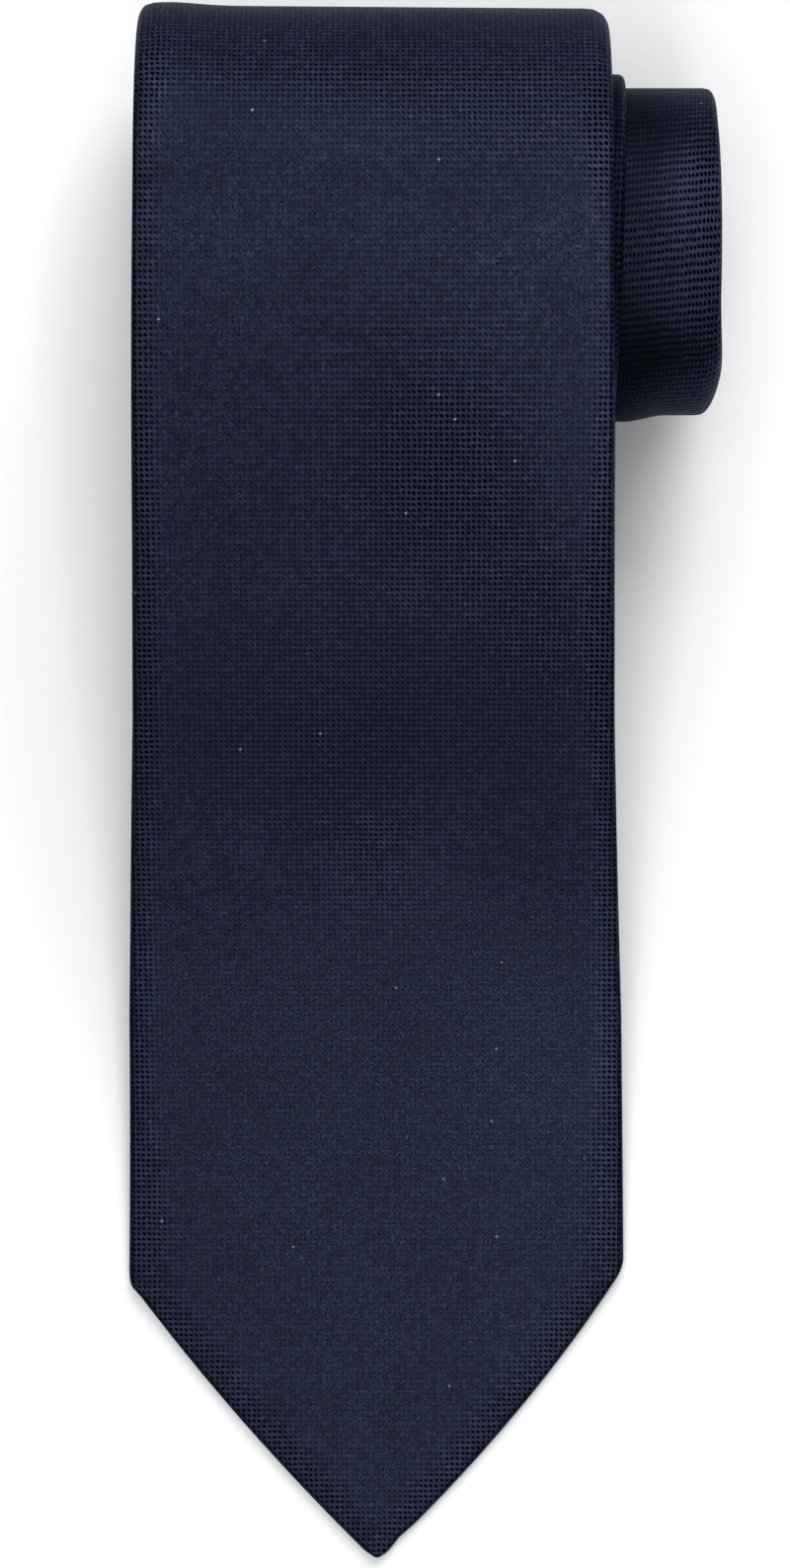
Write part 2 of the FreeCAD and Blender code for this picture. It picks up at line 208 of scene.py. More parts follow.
def half_width(along, side):
    """Half of the tie's width on one side, -1 for the left and 1 for the right."""
    start, slope, bow = POINT_SIDES[side]
    inside = np.minimum(along, 52 * MM)
    slanted = start + slope * inside - bow * inside * inside + (along - inside)
    if side < 0:
        # the hem's folded corner sticks out a little from the left side
        slanted = slanted + 0.5 * MM * bump(along, 47.3 * MM, 1.1 * MM)
    else:
        # the turned-in hems make a small knob at the tip
        knob = 0.5 * MM * bump(along, 0, 1.3 * MM) - 0.35 * MM * bump(along, 3.7 * MM, 1.1 * MM)
        slanted = slanted + knob
    left_over = np.maximum(LENGTH - along, 0)
    tail = 1.2 * MM + (TAIL_WIDTH / 2 - 1.2 * MM) * left_over / TAIL_POINT
    straight = width_along(along) / 2
    half = soft_least(soft_least(slanted, straight, 0.3 * MM), tail, 0.5 * MM)
    short = np.clip(np.minimum(along, left_over) / NOSE, 0, 1)
    return half * np.sqrt(np.maximum(1 - (1 - short) ** 2, 1e-4))


def middle_x(along):
    """X of the centre seam: the turns slide to the right, then stay flush at that edge."""
    half = width_along(np.clip(along, WIDTH_AT[1], LENGTH - TAIL_POINT)) / 2
    edge = half + ease(along, 290 * MM, 420 * MM) * (SECOND_EDGE - SECOND_SLIDE - half)
    edge = edge + ease(along, 415 * MM, 475 * MM) * SECOND_SLIDE
    edge = edge + ease(along, 488 * MM, 592 * MM) * (VISIBLE_EDGE - SECOND_EDGE)
    edge = edge + ease(along, 660 * MM, 750 * MM) * (INNER_EDGE - VISIBLE_EDGE)
    shuffle = 0.4 * MM * np.sin(along / (37 * MM)) * ease(along, 690 * MM, 800 * MM)
    shuffle = shuffle + 1.2 * MM * bump(along, SIGHT_BOTTOM + 9 * MM, 18 * MM)
    lean = LEAN * ease(along, 60 * MM, 140 * MM) * (1 - ease(along, 340 * MM, 420 * MM))
    return BLADE_X + edge - half + shuffle - lean


def flap_edge(along, side):
    """How far from the seam the folded-back flap begins on the tie's back."""
    half = half_width(along, side)
    first = along < LENGTH / 2
    end = np.where(first, along, LENGTH - along)
    point = np.where(first, WIDTH_AT[1], TAIL_POINT)
    tack = np.where(first, BLADE_TACK, LENGTH - TAIL_TACK)
    hem = np.where(first, BLADE_HEM, TAIL_HEM)
    t = np.clip((end - point) / (tack - point), 0, 1)
    bowed = t + 0.25 * t * (1 - t)  # the flaps swing in to the tack in a shallow curve
    opening = np.where(end < point, half - hem, (half - hem) * (1 - bowed) + SEAM_HALF * bowed)
    return np.minimum(np.maximum(opening, SEAM_HALF), np.maximum(half - 1.3 * MM, SEAM_HALF))


def thinning(along):
    """Share of the thickness that is left close to the tie's two ends, which are rounded."""
    short = np.clip(np.minimum(along, LENGTH - along) / (THICK / 2), 0, 1)
    return np.sqrt(np.maximum(1 - (1 - short) ** 2, 0.01))


def unevenness(along, across):
    """How far the cloth stands out from the even line, because a pressed tie isn't quite flat."""
    a = np.sin(along / (23 * MM) + 1.3 * np.sin(across / (19 * MM)))
    b = np.sin(along / (41 * MM) - across / (27 * MM) + 0.7)
    c = np.sin(across / (11 * MM) + along / (60 * MM) + 2.1)
    swell = (0.5 * a + 0.3 * b + 0.2 * c) * SWELL * ease(along, 20 * MM, 60 * MM)
    swell = swell * (1 - ease(along, FOLD_START - 20 * MM, FOLD_START))
    # The top fold is a little fuller at its left end.
    fuller = 0.55 * MM * bump(across, -34 * MM, 6 * MM) - 0.3 * MM * across / (40 * MM)
    top_fold = ease(along, FOLD_START + 8 * MM, FOLD_START + 40 * MM)
    top_fold = top_fold * (1 - ease(along, FOLD_END - 34 * MM, FOLD_END - 4 * MM))
    # The underside of the turn in sight sags a little, most of all next to the blade.
    from_blade = middle_x(along) + across - BLADE_X - SECOND_EDGE
    sag = 1.4 * MM - 1.1 * MM * ease(from_blade, 0, 7 * MM)
    sag = sag * bump(along, SIGHT_BOTTOM, 13 * MM)
    return swell + fuller * top_fold + sag


def drawn_in(inside, depth, band, power, most):
    """How far a spot of the cloth draws in, if it is within a band along the edge."""
    return depth * np.clip(1 - inside / band, 0, most) ** power


def edge_curl(along, across, heading):
    """How far the side edges draw in where the cloth bends round the roll's two flanks."""
    side = np.sign(across)
    half = np.where(side < 0, half_width(along, -1), half_width(along, 1))
    inside = half - np.abs(across)
    top_fold = ease(along, FOLD_START + 6 * MM, FOLD_START + 40 * MM)
    top_fold = top_fold * (1 - ease(along, FOLD_END - 40 * MM, FOLD_END - 6 * MM))
    left = drawn_in(inside, 1.3 * MM, 2.2 * MM, 2, 1.5)
    right = drawn_in(inside, 1.9 * MM, 3.4 * MM, 2, 1.2)
    curl = top_fold * np.where(side < 0, left, right)
    # The turns that stick out on the right all draw in together, most on the side of the blade.
    turns = ease(along, 545 * MM, 575 * MM)
    under = np.clip(np.sin(heading), 0, 1) ** 2
    behind = np.clip(-np.sin(heading), 0, 1) ** 2
    from_edge = BLADE_X + INNER_EDGE - (middle_x(along) + across)
    near = drawn_in(from_edge, 2.0 * MM, 3.2 * MM, 2.2, 1.2) * under
    far = drawn_in(from_edge, 1.0 * MM, 2.0 * MM, 2, 1.3) * behind
    return curl + turns * (near + far)


def place(along, across, deep):
    """Where a spot of the cloth is. deep runs from the tie's front face to its back."""
    along, across, deep = np.broadcast_arrays(along, across, deep)
    y = np.interp(along, LINE_ALONG, LINE_Y)
    z = np.interp(along, LINE_ALONG, LINE_Z)
    heading = np.interp(along, LINE_ALONG, LINE_HEADING)
    out = THICK / 2 - deep + unevenness(along, across) - edge_curl(along, across, heading)
    x = middle_x(along) + across
    return np.stack([x, y - out * np.sin(heading), z + out * np.cos(heading)], axis=-1)


# ---------------------------------------------------------------- meshes


def rows_between(start, end, step):
    """Even distances along the tie, finer at its two points."""
    count = max(2, int(round((end - start) / step)) + 1)
    rows = np.linspace(start, end, count)
    fine = 4 * MM * (np.arange(1, 22) / 22) ** 2
    corner = 47 * MM + np.arange(0, 6 * MM, 0.5 * MM)
    extra = np.concatenate([fine, corner, LENGTH - fine])
    extra = extra[(extra > start) & (extra < end)]
    return np.unique(np.concatenate([rows, extra]))


def strip_faces(rows, columns, wrap):
    """Quads between neighbouring rows of a grid of points."""
    index = np.arange(rows * columns).reshape(rows, columns)
    right = np.roll(index, -1, axis=1)
    if not wrap:
        index, right = index[:, :-1], right[:, :-1]
    faces = np.stack([index[:-1], right[:-1], right[1:], index[1:]], axis=-1)
    return faces.reshape(-1, 4).tolist()


def end_faces(rows, columns):
    """Quads that close both ends of a flat tube, from each point to the one facing it."""
    faces = []
    for first, flip in ((0, False), ((rows - 1) * columns, True)):
        for i in range(columns // 2 - 1):
            quad = [first + i, first + columns - 1 - i, first + columns - 2 - i, first + i + 1]
            faces.append(quad[::-1] if flip else quad)
    return faces


def make_piece(name, points, faces, uvs, material, looks=None):
    """A smooth mesh object. uvs has one pair for each point, and so has looks."""
    mesh = bpy.data.meshes.new(name)
    mesh.from_pydata(points.reshape(-1, 3).tolist(), [], faces)
    corners = np.zeros(len(mesh.loops), dtype=np.int32)
    mesh.loops.foreach_get("vertex_index", corners)
    for layer_name, pairs in (("weave", uvs), ("looks", looks)):
        if pairs is not None:
            layer = mesh.uv_layers.new(name=layer_name)
            flat = pairs.reshape(-1, 2).astype(np.float32)
            layer.data.foreach_set("uv", flat[corners].ravel())
    mesh.polygons.foreach_set("use_smooth", [True] * len(mesh.polygons))
    mesh.materials.append(material)
    mesh.validate()
    mesh.update()
    if signed_volume(mesh) < 0:
        mesh.flip_normals()
    piece = bpy.data.objects.new(name, mesh)
    bpy.context.scene.collection.objects.link(piece)
    return piece


def signed_volume(mesh):
    """Six times the volume inside a closed mesh, below 0 if its faces look inwards."""
    mesh.calc_loop_triangles()
    corners = np.zeros(len(mesh.loop_triangles) * 3, dtype=np.int32)
    mesh.loop_triangles.foreach_get("vertices", corners)
    spots = np.zeros(len(mesh.vertices) * 3, dtype=np.float32)
    mesh.vertices.foreach_get("co", spots)
    a, b, c = spots.reshape(-1, 3)[corners.reshape(-1, 3)].transpose(1, 0, 2)
    return float(np.einsum("ij,ij->i", a, np.cross(b, c)).sum())


SIDE_COLUMNS = 8


def shell_section(along, flap_columns, front_columns):
    """Across and deep of the folded panel's outer face, then of its inner face, going back.

    Each is an array with one row for each distance along."""
    rows = along[:, None]
    thin = thinning(rows)
    loops = []
    for inset in (0.0, CLOTH):
        halves = []
        for side in (-1, 1):
            half = half_width(rows, side)
            slant = np.gradient(half[:, 0], along)[:, None]
            round_across = (THICK / 2) * np.sqrt(1 + np.minimum(slant * slant, 1.2))
            round_across = np.minimum(round_across, half * 0.8)
            shrink = 1 - inset / (THICK / 2)
            flap = np.minimum(flap_edge(rows, side), half - round_across)
            across_flap = flap + (half - round_across - flap) * np.linspace(0, 1, flap_columns)[None, :]
            deep_flap = THICK - inset + 0 * across_flap
            turn = np.linspace(math.pi / 2, -math.pi / 2, SIDE_COLUMNS + 2)[None, 1:-1]
            across_side = half - round_across + round_across * shrink * np.cos(turn)
            deep_side = THICK / 2 + (THICK / 2 - inset) * np.sin(turn) + 0 * across_side
            halves.append((across_flap, deep_flap, across_side, deep_side))
        left, right = halves
        front = np.linspace(0, 1, front_columns)[None, :]
        across_front = -left[0][:, -1:] + (right[0][:, -1:] + left[0][:, -1:]) * front
        across = [-left[0], -left[2], across_front, right[2][:, ::-1], right[0][:, ::-1]]
        deep = [left[1], left[3], inset + 0 * across_front, right[3][:, ::-1], right[1][:, ::-1]]
        deep = THICK / 2 + (np.concatenate(deep, axis=1) - THICK / 2) * thin
        loops.append((np.concatenate(across, axis=1), deep))
    (across, deep), (inner_across, inner_deep) = loops
    across = np.concatenate([across, inner_across[:, ::-1]], axis=1)
    return across, np.concatenate([deep, inner_deep[:, ::-1]], axis=1)


def cloth_run(across, deep):
    """How far each point of the outer face is from the centre line, measured on the cloth."""
    outer = across.shape[1] // 2
    steps = np.hypot(np.diff(across[:, :outer], axis=1), np.diff(deep[:, :outer], axis=1))
    run = np.concatenate([np.zeros((len(across), 1)), np.cumsum(steps, axis=1)], axis=1)
    middle = outer // 2
    return run - run[:, middle:middle + 1] + across[:, middle:middle + 1]


# the size of a cell of the weave across the tie and along it, at distances from the tip
CELL_ACROSS_AT = np.array([300, 560]) * MM
CELL_ACROSS = np.array([0.9, 0.66]) * MM
CELL_ALONG_AT = np.array([110, 180, 300, 560]) * MM
CELL_ALONG = np.array([0.93, 1.03, 1.04, 1.32]) * MM
BIAS_SHEAR = 0.12  # how far the rows of the weave slant on the roll


def cloth_uv(along, run):
    """Weave cells: threads run on round the side edges, and the bias cut stretches lengthways."""
    run = np.concatenate([run, run[:, ::-1]], axis=1)
    across_cell = np.interp(along, CELL_ACROSS_AT, CELL_ACROSS)
    along_cell = np.interp(LINE_ALONG, CELL_ALONG_AT, CELL_ALONG)
    count = np.concatenate([[0], np.cumsum(STEP / along_cell[1:])])
    shear = BIAS_SHEAR * ease(along, 420 * MM, 560 * MM) / np.interp(along, LINE_ALONG, along_cell)
    u = run / across_cell[:, None]
    v = np.interp(along, LINE_ALONG, count)[:, None] - shear[:, None] * run
    return np.stack([u, v], axis=-1)


# Looks painted on the cloth: how crisp the weave is, and painted light and shade. Soft patches,
# set by comparing renders with the photograph, make the weave crisper and paint the cloth
# brighter or duller than the lights alone would. They belong to the cloth, so they stay where
# they are in other poses and under other lights.
# A patch is its middle along and across, its reach along and across, in mm, and how much it adds.
# The light and shade patches at 578 to 629 mm are painted bands of highlight and shade on the turn in
# sight.
CRISP_PATCHES = [
    (200, 11, 30, 22, 0.9),
    (142, -6, 24, 24, 0.5),
    (168, 30, 20, 12, 0.5),
    (122, 0, 12, 10, 0.45),
    (165, 0, 34, 200, 0.16),
    (225, 38, 35, 7, -0.45),
]
# painted light where a patch adds, painted shade where it takes away
PAINTED_LIGHT_AND_SHADE_PATCHES = [
    (257, 0, 8, 200, -0.45),
    (236, 0, 12, 200, 0.16),
    (228, 30, 24, 16, 0.28),
    (200, 2, 18, 28, -0.28),
    (160, 0, 24, 200, -0.12),
    (146, 0, 18, 36, -0.26),
    (125, 10, 16, 40, 0.08),
    (90, 30, 24, 18, 0.24),
    (251, 28, 9, 14, -0.14),
    (200, 40, 50, 5, 0.40),
    (259, -38, 9, 7, 0.30),
    (629, 0, 9, 200, -0.35),
    (609, 0, 6, 200, 0.35),
    (592, 0, 6, 200, -0.35),
    (578, 0, 5, 200, 0.25),
]


def patch(along, across, at_along, at_across, reach_along, reach_across):
    """1 in the middle of a soft patch, which is given in mm, and 0 far from it."""
    return bump(along, at_along * MM, reach_along * MM) * bump(across, at_across * MM, reach_across * MM)


def cloth_looks(along, across):
    """How crisp the weave looks, and the painted light and shade: how bright the cloth is at each point.

    The patches, the edges (painted shade on the left, painted light on the right), a painted highlight on
    the rims, painted light on the point and a painted shade on the strip next to the blade all change them."""
    rows = along[:, None]
    half = np.where(across < 0, half_width(rows, -1), half_width(rows, 1))
    inside = half - np.abs(across)
    reach = 12 * MM - 5.5 * MM * ease(rows, 50 * MM, 90 * MM)
    edge = 1 - ease(inside, 0.25 * reach, reach)
    left, right = across < 0, across > 0
    crisp = 0.26 + edge + 0.9 * ease(rows + 0.2 * across, 243 * MM, 262 * MM)
    for at_along, at_across, reach_along, reach_across, more in CRISP_PATCHES:
        crisp = crisp + more * patch(rows, across, at_along, at_across, reach_along, reach_across)
    brightness_with_painted_light = 1 + 0 * across
    for at_along, at_across, reach_along, reach_across, more in PAINTED_LIGHT_AND_SHADE_PATCHES:
        brightness_with_painted_light = brightness_with_painted_light + more * patch(rows, across, at_along, at_across, reach_along, reach_across)
    # painted light on the blade's point, brighter towards its right side
    point = (1 - ease(rows, 50 * MM, 125 * MM)) * (1 - edge)
    brightness_with_painted_light = brightness_with_painted_light + 0.22 * point * (1 + across / (50 * MM))
    # painted shade along the left edge, and painted light along the right edge near the point
    brightness_with_painted_light = brightness_with_painted_light - 0.08 * edge * left + 0.12 * edge * right * (1 - ease(rows, 90 * MM, 130 * MM))
    # a painted highlight on the rim of the right side and of the slanted sides at the point
    painted_rim_highlight = 1 - ease(inside, 0.1 * MM, 1.1 * MM)
    slanted = 0.6 * (1 - ease(rows, 44 * MM, 52 * MM))
    brightness_with_painted_light = brightness_with_painted_light + painted_rim_highlight * np.maximum(0.9 * right * ease(rows, 60 * MM, 120 * MM), slanted)
    # A painted shade: on the roll the blade keeps the light from the strip next to it.
    from_blade = middle_x(rows) + across - BLADE_X - SECOND_EDGE
    shade = 0.80 * (1 - ease(from_blade, -1 * MM, 13 * MM)) * ease(rows, 380 * MM, 440 * MM)
    return np.stack([crisp, np.clip(brightness_with_painted_light - shade, 0.2, 2.0)], axis=-1)


def make_shell(name, start, end, step=1.5 * MM, flap_columns=22, front_columns=56):
    """A panel of the outer cloth with its sides folded round to the back."""
    along = rows_between(start, end, step)
    across, deep = shell_section(along, flap_columns, front_columns)
    run = cloth_run(across, deep)
    rows, columns = across.shape
    faces = strip_faces(rows, columns, True) + end_faces(rows, columns)
    points = place(along[:, None], across, deep)
    piece = make_piece(name, points, faces, cloth_uv(along, run), TIE_CLOTH, cloth_looks(along, across))
    return piece


def make_band(name, start, end, margin, near, far, material, slot, held, step=3 * MM, columns=20):
    """A flat ply inside the tie, margin in from its edges, between two depths."""
    along = rows_between(start, end, step)
    rows = along[:, None]
    left = -np.maximum(half_width(rows, -1) - margin, 0.3 * MM)
    right = np.maximum(half_width(rows, 1) - margin, 0.3 * MM)
    top = left + (right - left) * np.linspace(0, 1, columns)[None, :]
    across = np.concatenate([top, top[:, ::-1]], axis=1)
    deep = np.concatenate([near + 0 * top, far + 0 * top], axis=1)
    count, ring = across.shape
    faces = strip_faces(count, ring, True) + end_faces(count, ring)
    uvs = np.stack([across / MM, rows / MM + 0 * across], axis=-1)
    piece = make_piece(name, place(rows, across, deep), faces, uvs, material)
    return piece


THREAD_SIDES = 8


def thread_points(path, radius):
    """Rings of points round a thread, as a grid with one row for each place on its path."""
    ahead = np.gradient(path, axis=0)
    ahead /= np.linalg.norm(ahead, axis=1)[:, None]
    aside = np.cross(ahead, np.array([0.31, 0.17, 0.93]))
    aside /= np.linalg.norm(aside, axis=1)[:, None]
    up = np.cross(ahead, aside)
    turn = np.arange(THREAD_SIDES) / THREAD_SIDES * 2 * math.pi
    ring = np.cos(turn)[None, :, None] * aside[:, None] + np.sin(turn)[None, :, None] * up[:, None]
    return path[:, None] + radius * ring


def make_threads(name, paths, radius, material):
    """Sewing threads, joined in one piece. Each path is an array of points."""
    points, faces, uvs, first = [], [], [], 0
    for path in paths:
        grid = thread_points(path, radius)
        rows = len(path)
        quads = np.array(strip_faces(rows, THREAD_SIDES, True)) + first
        faces += quads.tolist()
        faces.append([first + i for i in reversed(range(THREAD_SIDES))])
        faces.append([first + (rows - 1) * THREAD_SIDES + i for i in range(THREAD_SIDES)])
        run = np.concatenate([[0], np.cumsum(np.linalg.norm(np.diff(path, axis=0), axis=1))])
        around = np.arange(THREAD_SIDES) / THREAD_SIDES
        pairs = np.stack(np.broadcast_arrays(around[None, :], run[:, None] / MM), axis=-1)
        uvs.append(pairs.reshape(-1, 2))
        points.append(grid.reshape(-1, 3))
        first += rows * THREAD_SIDES
    piece = make_piece(name, np.concatenate(points), faces, np.concatenate(uvs), material)
    return piece


# ---------------------------------------------------------------- materials


class Nodes:
    """Short calls for building a material's node tree."""

    def __init__(self, name):
        self.material = bpy.data.materials.new(name)
        self.material.use_nodes = True
        self.tree = self.material.node_tree
        self.shader = self.tree.nodes["Principled BSDF"]

    def node(self, kind, **settings):
        made = self.tree.nodes.new(kind)
        for key, value in settings.items():
            setattr(made, key, value)
        return made

    def wire(self, value, socket):
        """Links a socket, or sets a plain value."""
        if isinstance(value, bpy.types.NodeSocket):
            self.tree.links.new(value, socket)
        else:
            socket.default_value = value

    def math(self, operation, a, b=0.0, c=0.0):
        """One sum on two or three values, each a socket or a number."""
        made = self.node("ShaderNodeMath", operation=operation)
        for value, socket in zip((a, b, c), made.inputs):
            self.wire(value, socket)
        return made.outputs[0]

    def wave(self, value):
        """A sine wave between 0 and 1."""
        return self.math("MULTIPLY_ADD", self.math("SINE", value), 0.5, 0.5)

    def mix(self, amount, a, b):
        """Colour a at 0, colour b at 1, and beyond b above 1."""
        made = self.node("ShaderNodeMix", data_type="RGBA", clamp_factor=False)
        factor, colour_a, colour_b = made.inputs[0], made.inputs[6], made.inputs[7]
        for value, socket in ((amount, factor), (a, colour_a), (b, colour_b)):
            self.wire(value, socket)
        return made.outputs[2]

    def rescale(self, value, low, high):
        """A smooth step from 0 at low to 1 at high."""
        made = self.node("ShaderNodeMapRange", interpolation_type="SMOOTHSTEP")
        for item, socket in zip((value, low, high, 0.0, 1.0), made.inputs):
            self.wire(item, socket)
        return made.outputs[0]

    def noise(self, vector, scale, detail=2.0):
        made = self.node("ShaderNodeTexNoise", noise_dimensions="2D")
        self.wire(vector, made.inputs["Vector"])
        self.wire(scale, made.inputs["Scale"])
        self.wire(detail, made.inputs["Detail"])
        return made.outputs[0]

    def chance(self, x, y):
        """A random value from 0 to 1 for each whole step of x and y."""
        made = self.node("ShaderNodeTexWhiteNoise", noise_dimensions="2D")
        self.wire(self.vector(self.math("FLOOR", x), self.math("FLOOR", y)), made.inputs["Vector"])
        return made.outputs[0]

    def vector(self, x, y):
        made = self.node("ShaderNodeCombineXYZ")
        self.wire(x, made.inputs[0])
        self.wire(y, made.inputs[1])
        return made.outputs[0]

    def weave_uv(self, layer="weave"):
        """The cloth coordinates: the vector, then its two parts."""
        uv = self.node("ShaderNodeUVMap", uv_map=layer).outputs[0]
        parts = self.node("ShaderNodeSeparateXYZ")
        self.wire(uv, parts.inputs[0])
        return uv, parts.outputs[0], parts.outputs[1]

    def bump(self, height, distance, strength=1.0):
        made = self.node("ShaderNodeBump")
        self.wire(strength, made.inputs["Strength"])
        self.wire(distance, made.inputs["Distance"])
        self.wire(height, made.inputs["Height"])
        return made.outputs[0]

    def set(self, **values):
        """Sets or links inputs of the material's shader, by their names."""
        for key, value in values.items():
            self.wire(value, self.shader.inputs[key.replace("_", " ")])


def paint(colour, share=1.0):
    """The colour, or a darker shade of it, for a node's socket."""
    return [channel * share for channel in colour] + [1]


# linear colours of the silk in its pits, in shade and in light, and of a speck of lint
SILK_PIT = (0.0028, 0.0034, 0.0062, 1)
SILK_DIM = (0.0026, 0.0032, 0.0062, 1)
SILK_BRIGHT = (0.0167, 0.0201, 0.0400, 1)
LINT = (0.18, 0.19, 0.24, 1)
SILK_GRAZED = (0.55, 0.56, 0.60, 1)  # how much of the light comes off the silk at a low angle
PIT_WIDE, PIT_TALL = 0.40, 0.27  # a pit's reach, as a share of a cell of the weave
PIT_LEAN_COS, PIT_LEAN_SIN = 0.80, 0.60
# the painted glints
GLINT_DOTS_WIDE, GLINT_DOTS_TALL = 2.4, 2.6  # how many pale dots there is room for in a cell
GLINT_DOT_CHANCE = 0.90
LINT_CHANCE, LINT_SIZE = 0.9991, 0.035
WEAVE_RELIEF = 0.10 * MM


def tie_cloth():
    """Navy silk in a small basket weave: a net of light threads with dark pits between them.

    Silk yarns mirror light in their own colour, over a wide angle, as a dull metal does."""
    n = Nodes("navy_weave")
    uv, u, v = n.weave_uv()
    sway = n.math("MULTIPLY_ADD", n.noise(uv, 0.35), 0.5, -0.25)
    u = n.math("ADD", u, sway)
    v = n.math("ADD", v, n.math("MULTIPLY", sway, 0.6))
    a = n.math("SUBTRACT", n.math("FRACT", u), 0.5)
    b = n.math("SUBTRACT", n.math("FRACT", v), 0.5)
    # The pit leans to one side, because the threads cross it on the bias.
    lean_a = n.math("ADD", n.math("MULTIPLY", a, PIT_LEAN_COS), n.math("MULTIPLY", b, -PIT_LEAN_SIN))
    lean_b = n.math("ADD", n.math("MULTIPLY", a, PIT_LEAN_SIN), n.math("MULTIPLY", b, PIT_LEAN_COS))
    wide = n.math("POWER", n.math("DIVIDE", lean_a, PIT_WIDE), 2.0)
    tall = n.math("POWER", n.math("DIVIDE", lean_b, PIT_TALL), 2.0)
    thread = n.rescale(n.math("SQRT", n.math("ADD", wide, tall)), 0.45, 1.35)
    # each crossing gets a random tone, which later also carries the painted glints
    chance = n.chance(n.math("ADD", u, 0.5), n.math("ADD", v, 0.5))
    crossing_tone_and_glints = n.math("MULTIPLY_ADD", chance, 0.6, 0.7)
    # Where the weave blurs, only a fine grain is left of the pits.
    crisp, painted_light_here = n.weave_uv("looks")[1:]
    grain = n.math("MULTIPLY_ADD", n.noise(uv, 2.6, 2.0), 3.6, -1.0)
    grain = n.math("MINIMUM", n.math("MAXIMUM", grain, 0.0), 1.0)
    thread = n.math("ADD", grain, n.math("MULTIPLY", n.math("SUBTRACT", thread, grain), crisp))
    # Painted glints: a few pale dots, much smaller than a cell of the weave, stand for filaments that catch
    # the light.
    painted_dot_draw = n.chance(n.math("MULTIPLY", u, GLINT_DOTS_WIDE), n.math("MULTIPLY", v, GLINT_DOTS_TALL))
    bright = n.math("GREATER_THAN", painted_dot_draw, GLINT_DOT_CHANCE)
    crossing_tone_and_glints = n.math("MULTIPLY", crossing_tone_and_glints, n.math("MULTIPLY_ADD", bright, 0.55, 0.95))
    clouds = n.math("MULTIPLY_ADD", n.noise(uv, 0.05, 2.0), 0.3, 0.85)
    # the silk's brightness, scaled by the painted light and shade, the painted glints and a random tone
    brightness_with_painted_light = n.math("MULTIPLY", n.math("MULTIPLY", crossing_tone_and_glints, painted_light_here), clouds)
    light = n.mix(brightness_with_painted_light, SILK_DIM, SILK_BRIGHT)
    # A speck of lint sits on a crossing here and there.
    beside_a = n.math("SUBTRACT", 0.5, n.math("ABSOLUTE", a))
    beside_b = n.math("SUBTRACT", 0.5, n.math("ABSOLUTE", b))
    far = n.math("ADD", n.math("MULTIPLY", beside_a, beside_a), n.math("MULTIPLY", beside_b, beside_b))
    speck = n.math("GREATER_THAN", chance, LINT_CHANCE)
    speck = n.math("MULTIPLY", speck, n.math("LESS_THAN", far, LINT_SIZE))
    silk = n.mix(speck, n.mix(thread, SILK_PIT, light), LINT)
    relief = n.math("MULTIPLY", thread, crossing_tone_and_glints)
    n.set(Base_Color=silk, Metallic=1.0, Roughness=0.49, Specular_Tint=SILK_GRAZED)
    n.set(Normal=n.bump(relief, WEAVE_RELIEF, 0.5))
    return n.material


def satin(name, colour, ribs, roughness=0.4):
    """A smooth woven cloth: fine ribs across it and long, soft streaks."""
    n = Nodes(name)
    u, v = n.weave_uv()[1:]
    streaks = n.noise(n.vector(n.math("MULTIPLY", u, 4.0), n.math("MULTIPLY", v, 0.25)), 1.0)
    rib = n.wave(n.math("MULTIPLY", n.math("ADD", v, n.math("MULTIPLY", u, 0.35)), ribs))
    amount = n.math("MULTIPLY_ADD", rib, 0.35, n.math("MULTIPLY", streaks, 0.65))
    n.set(Base_Color=n.mix(amount, paint(colour, 0.6), paint(colour)), Roughness=roughness)
    n.set(Specular_Tint=(0.5, 0.55, 0.9, 1), Normal=n.bump(rib, 0.04 * MM, 0.5))
    return n.material


def brushed_wool(name, colour):
    """The interlining: a coarse open weave with a raised nap."""
    n = Nodes(name)
    uv, u, v = n.weave_uv()
    warp = n.math("SINE", n.math("MULTIPLY", u, 7.5))
    weft = n.math("SINE", n.math("MULTIPLY", v, 7.5))
    weave = n.math("MULTIPLY_ADD", n.math("MULTIPLY", warp, weft), 0.5, 0.5)
    nap = n.noise(uv, 1.7, 6.0)
    amount = n.math("MULTIPLY_ADD", weave, 0.4, n.math("MULTIPLY", nap, 0.6))
    n.set(Base_Color=n.mix(amount, paint(colour, 0.7), paint(colour)), Roughness=0.95, Sheen_Weight=0.3)
    n.set(Normal=n.bump(amount, 0.2 * MM, 0.7))
    return n.material


def twisted_thread(name, colour):
    """Sewing silk: two plies that wind round each other."""
    n = Nodes(name)
    u, v = n.weave_uv()[1:]
    ply = n.wave(n.math("MULTIPLY", n.math("ADD", n.math("MULTIPLY", u, 2.0), v), 2 * math.pi))
    n.set(Base_Color=n.mix(ply, paint(colour, 0.45), paint(colour)), Roughness=0.5, Specular_IOR_Level=0.25)
    n.set(Normal=n.bump(ply, 0.05 * MM, 0.8))
    return n.material


